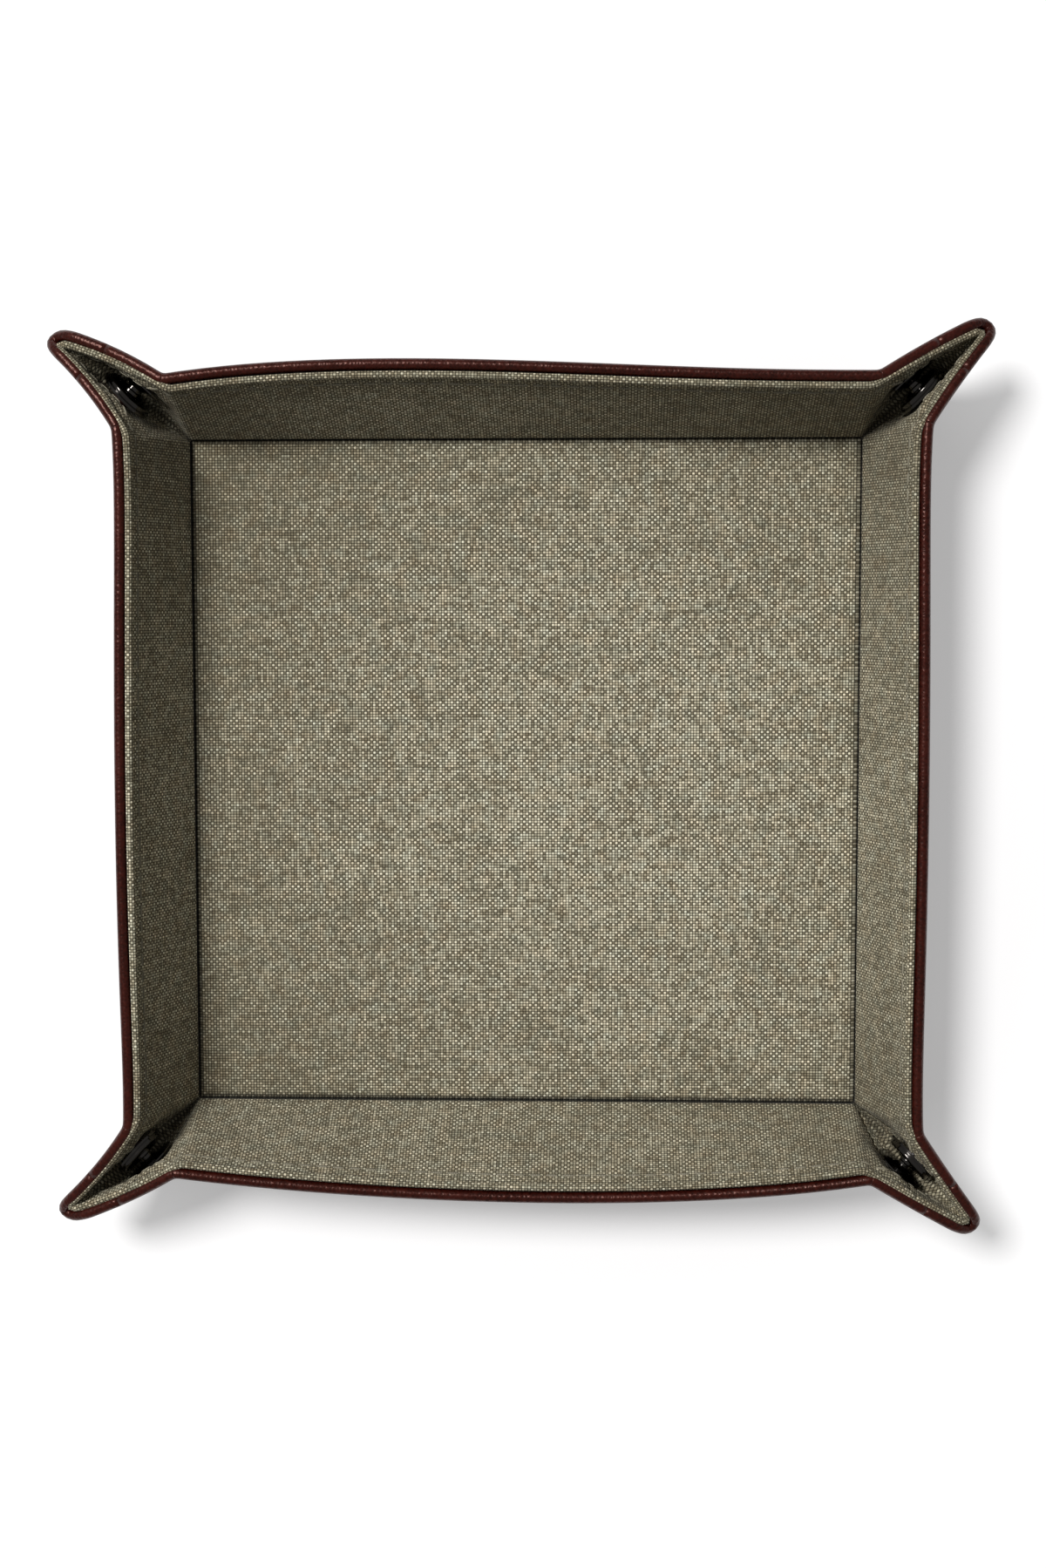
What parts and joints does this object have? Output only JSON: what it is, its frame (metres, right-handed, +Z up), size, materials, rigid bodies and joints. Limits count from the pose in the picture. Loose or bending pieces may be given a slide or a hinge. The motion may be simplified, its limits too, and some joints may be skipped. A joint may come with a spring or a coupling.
{
  "type": "valet tray",
  "caption": "Square catch-all tray folded from a lined leather sheet, its corners pinched outwards into ears that metal snaps hold; unsnapped it opens nearly flat.",
  "frame": {"origin": "middle of the underside of the base, on the table", "axes": "+Z up out of the tray, -Y to the front wall (nearest the viewer), +X to the right wall"},
  "size_m": [0.1934, 0.1934, 0.0285],
  "materials": {
    "leather": "fine grain, satin",
    "lining": "plain weave, matte",
    "board": "pressed fibre, matte",
    "snap_metal": "bright plated",
    "snap_cap": "satin enamel"
  },
  "bodies": {
    "base": {"base_leather": "leather", "base_board": "board", "base_lining": "lining"},
    "front_wall": {"front_wall_leather": "leather", "front_wall_board": "board", "front_wall_lining": "lining"},
    "right_wall": {"right_wall_leather": "leather", "right_wall_board": "board", "right_wall_lining": "lining"},
    "rear_wall": {"rear_wall_leather": "leather", "rear_wall_board": "board", "rear_wall_lining": "lining"},
    "left_wall": {"left_wall_leather": "leather", "left_wall_board": "board", "left_wall_lining": "lining"},
    "wing_front_left": {"wing_front_left_leather": "leather", "wing_front_left_lining": "lining", "snap_front_left_stud": "snap_metal", "snap_front_left_post": "snap_cap"},
    "wing_left_front": {"wing_left_front_leather": "leather", "wing_left_front_lining": "lining", "snap_front_left_cap": "snap_cap", "snap_front_left_socket": "snap_metal"},
    "wing_front_right": {"wing_front_right_leather": "leather", "wing_front_right_lining": "lining", "snap_front_right_stud": "snap_metal", "snap_front_right_post": "snap_cap"},
    "wing_right_front": {"wing_right_front_leather": "leather", "wing_right_front_lining": "lining", "snap_front_right_cap": "snap_cap", "snap_front_right_socket": "snap_metal"},
    "wing_rear_left": {"wing_rear_left_leather": "leather", "wing_rear_left_lining": "lining", "snap_rear_left_stud": "snap_metal", "snap_rear_left_post": "snap_cap"},
    "wing_left_rear": {"wing_left_rear_leather": "leather", "wing_left_rear_lining": "lining", "snap_rear_left_cap": "snap_cap", "snap_rear_left_socket": "snap_metal"},
    "wing_rear_right": {"wing_rear_right_leather": "leather", "wing_rear_right_lining": "lining", "snap_rear_right_stud": "snap_metal", "snap_rear_right_post": "snap_cap"},
    "wing_right_rear": {"wing_right_rear_leather": "leather", "wing_right_rear_lining": "lining", "snap_rear_right_cap": "snap_cap", "snap_rear_right_socket": "snap_metal"}
  },
  "joints": [
    {"name": "front_wall_fold", "type": "hinge", "parent": "base", "child": "front_wall", "pos_m": [0, -0.0735, 0.0012], "axis": [1, 0, 0], "range_deg": [0, 58]},
    {"name": "right_wall_fold", "type": "hinge", "parent": "base", "child": "right_wall", "pos_m": [0.0735, 0, 0.0012], "axis": [0, 1, 0], "range_deg": [0, 58]},
    {"name": "rear_wall_fold", "type": "hinge", "parent": "base", "child": "rear_wall", "pos_m": [0, 0.0735, 0.0012], "axis": [-1, 0, 0], "range_deg": [0, 58]},
    {"name": "left_wall_fold", "type": "hinge", "parent": "base", "child": "left_wall", "pos_m": [-0.0735, 0, 0.0012], "axis": [0, -1, 0], "range_deg": [0, 58]},
    {"name": "ear_front_left_crease", "type": "hinge", "parent": "front_wall", "child": "wing_front_left", "pos_m": [-0.0735, -0.0735, 0.0012], "axis": [0, 0.342, -0.9397], "range_deg": [0, 27.36]},
    {"name": "ear_front_left_diagonal", "type": "hinge", "parent": "wing_front_left", "child": "wing_left_front", "pos_m": [-0.0735, -0.0735, 0.0012], "axis": [-0.5974, -0.5974, 0.5351], "range_deg": [0, 116]},
    {"name": "ear_front_right_crease", "type": "hinge", "parent": "front_wall", "child": "wing_front_right", "pos_m": [0.0735, -0.0735, 0.0012], "axis": [0, -0.342, 0.9397], "range_deg": [0, 27.36]},
    {"name": "ear_front_right_diagonal", "type": "hinge", "parent": "wing_front_right", "child": "wing_right_front", "pos_m": [0.0735, -0.0735, 0.0012], "axis": [-0.5974, 0.5974, -0.5351], "range_deg": [0, 116]},
    {"name": "ear_rear_left_crease", "type": "hinge", "parent": "rear_wall", "child": "wing_rear_left", "pos_m": [-0.0735, 0.0735, 0.0012], "axis": [0, 0.342, 0.9397], "range_deg": [0, 27.36]},
    {"name": "ear_rear_left_diagonal", "type": "hinge", "parent": "wing_rear_left", "child": "wing_left_rear", "pos_m": [-0.0735, 0.0735, 0.0012], "axis": [0.5974, -0.5974, -0.5351], "range_deg": [0, 116]},
    {"name": "ear_rear_right_crease", "type": "hinge", "parent": "rear_wall", "child": "wing_rear_right", "pos_m": [0.0735, 0.0735, 0.0012], "axis": [0, -0.342, -0.9397], "range_deg": [0, 27.36]},
    {"name": "ear_rear_right_diagonal", "type": "hinge", "parent": "wing_rear_right", "child": "wing_right_rear", "pos_m": [0.0735, 0.0735, 0.0012], "axis": [0.5974, 0.5974, 0.5351], "range_deg": [0, 116]}
  ],
  "couplings": [
    {"joint": "right_wall_fold", "follows": "front_wall_fold", "ratio": 1},
    {"joint": "rear_wall_fold", "follows": "front_wall_fold", "ratio": 1},
    {"joint": "left_wall_fold", "follows": "front_wall_fold", "ratio": 1},
    {"joint": "ear_front_left_crease", "follows": "front_wall_fold", "ratio": 0.47177},
    {"joint": "ear_front_left_diagonal", "follows": "front_wall_fold", "ratio": 2},
    {"joint": "ear_front_right_crease", "follows": "front_wall_fold", "ratio": 0.47177},
    {"joint": "ear_front_right_diagonal", "follows": "front_wall_fold", "ratio": 2},
    {"joint": "ear_rear_left_crease", "follows": "front_wall_fold", "ratio": 0.47177},
    {"joint": "ear_rear_left_diagonal", "follows": "front_wall_fold", "ratio": 2},
    {"joint": "ear_rear_right_crease", "follows": "front_wall_fold", "ratio": 0.47177},
    {"joint": "ear_rear_right_diagonal", "follows": "front_wall_fold", "ratio": 2}
  ]
}
